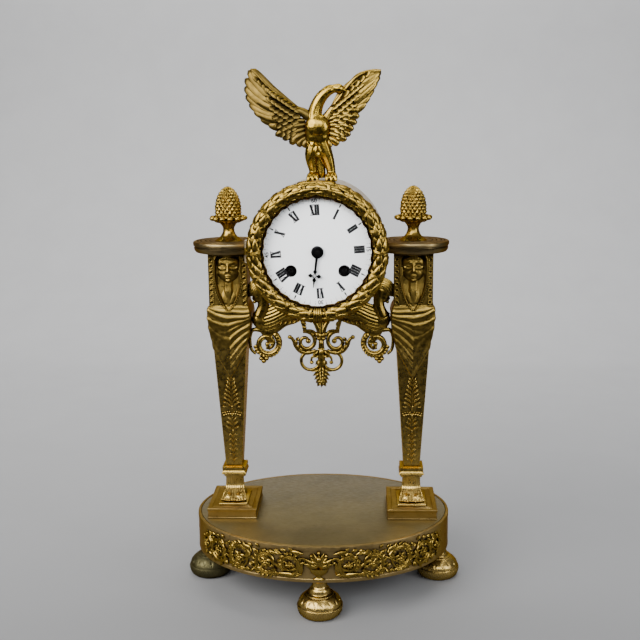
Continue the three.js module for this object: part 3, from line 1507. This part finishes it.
// Where a herm's inner side lies at a height, measured from the middle of the clock
function hermInnerFace(height) {
  const stations = [[collarBottom + collar.height, shaft.bottomHalfWidth], ...bustStations];
  const above = stations.findIndex(([stationHeight]) => stationHeight > height);
  const [[lowHeight, lowHalf], [highHeight, highHalf]] = [stations[above - 1], stations[above]];
  const share = (height - lowHeight) / (highHeight - lowHeight);
  return hermX - THREE.MathUtils.lerp(lowHalf, highHalf, share);
}

// One side of the pendant: a coil, an arm that ends in a ball, a hoop and its tie to the stem
function pendantSide(side) {
  const [coilX, coilZ] = [side * pendant.spiralX, belowDrum(pendant.spiralDrop)];
  const coilBottom = coilZ - pendant.spiralRadius;
  const [elbowOutShare, elbowDownShare] = pendant.elbowShares;
  const elbowOut = side * pendant.spiralRadius * elbowOutShare;
  const elbow = [coilX + elbowOut, coilZ - pendant.spiralRadius * elbowDownShare];
  const coil = scrollLine(coilX, coilZ, pendant.spiralRadius, pendant.spiralRadius / 3,
    mirroredAngles(side, pendant.coilAngles), pendant.coilSteps);
  const arm = [[coilX, coilBottom], elbow, [side * pendant.ballX, belowDrum(pendant.ballDrop)]];
  return [
    strap(coil, (share) => pendant.spiralHalfWidth * (1 - share / 3)),
    strap(arm, () => pendant.spiralHalfWidth),
    boss(pendant.ballRadius, side * pendant.ballX, belowDrum(pendant.ballDrop), bracket.ribbonThickness),
    hoopRing(side),
    strap([[0, coilBottom], [coilX, coilBottom]], () => pendant.spiralHalfWidth),
  ];
}

function addPendant() {
  const front = bracket.plane - bracket.thickness / 2;
  const top = drum.centreHeight - drum.radius + overrun;
  const web = shapeOf([
    [-pendant.stemHalfWidth, belowDrum(pendant.bossDrop)],
    [pendant.stemHalfWidth, belowDrum(pendant.bossDrop)],
    [pendant.spreadHalfWidth, top],
    [-pendant.spreadHalfWidth, top],
  ]);
  const leafHeight = belowDrum(pendant.leafTopDrop) - belowDrum(pendant.tipDrop);
  const halfLeaf = leafOutlineShares.map(([x, down]) =>
    [x * pendant.leafHalfWidth, belowDrum(pendant.leafTopDrop) - down * leafHeight]);
  const otherHalf = halfLeaf.slice(0, -1).reverse().map(([x, z]) => [-x, z]);
  const barHeight = belowDrum(pendant.barDrop);
  const bar = [[-pendant.barHalfWidth, barHeight], [pendant.barHalfWidth, barHeight]];
  const stemBottom = belowDrum(pendant.leafTopDrop) - pendant.waistRadius;
  const stem = [[0, belowDrum(pendant.bossDrop)], [0, stemBottom]];
  const parts = [
    solid(standing(web, front, bracket.thickness)),
    solid(standing(shapeOf([...halfLeaf, ...otherHalf]), front, bracket.thickness)),
    strap(bar, () => pendant.barHalfHeight),
    strap(stem, () => pendant.stemHalfWidth),
    boss(pendant.bossRadius, 0, belowDrum(pendant.bossDrop), bracket.thickness),
    boss(pendant.waistRadius, 0, belowDrum(pendant.waistDrop), bracket.thickness),
    ...pendantSide(-1),
    ...pendantSide(1),
  ];
  addPiece('pendant_scroll', join(parts).subtract(drumClearance()), 'gilt');
}

function hoopRing(side) {
  const [x, z] = [side * pendant.hoopX, belowDrum(pendant.hoopDrop)];
  const thick = bracket.ribbonThickness;
  const half = pendant.hoopHalfWidth;
  const ring = boss(pendant.hoopRadius + half, x, z, thick, pendant.hoopSides);
  return ring.subtract(boss(pendant.hoopRadius - half, x, z, thick + overrun, pendant.hoopSides));
}

for (const side of [-1, 1]) {
  addPlinth(side);
  addSoles(side);
  addShaft(side);
  addBust(side);
  addDisc(side);
  addFinial(side);
  addTieRod(side);
  addDrumBolt(side);
  addGriffin(side);
}
addFeet();
addBaseRim();
addBaseTop();
addFrieze();
addDrumCase();
addHingePins();
addBezel();
addDial();
addBackDoor();
addPlates();
addWindingArbor('going_winding_arbor', goingPlace);
addWindingArbor('strike_winding_arbor', strikePlace);
addSpringBarrel('going_barrel', goingPlace);
addSpringBarrel('strike_barrel', strikePlace);
addTrains();
addMotionWork();
addEscapementParts();
addBell();
addHammer();
addHourHand();
addEagle();
addPendant();

export default clock;
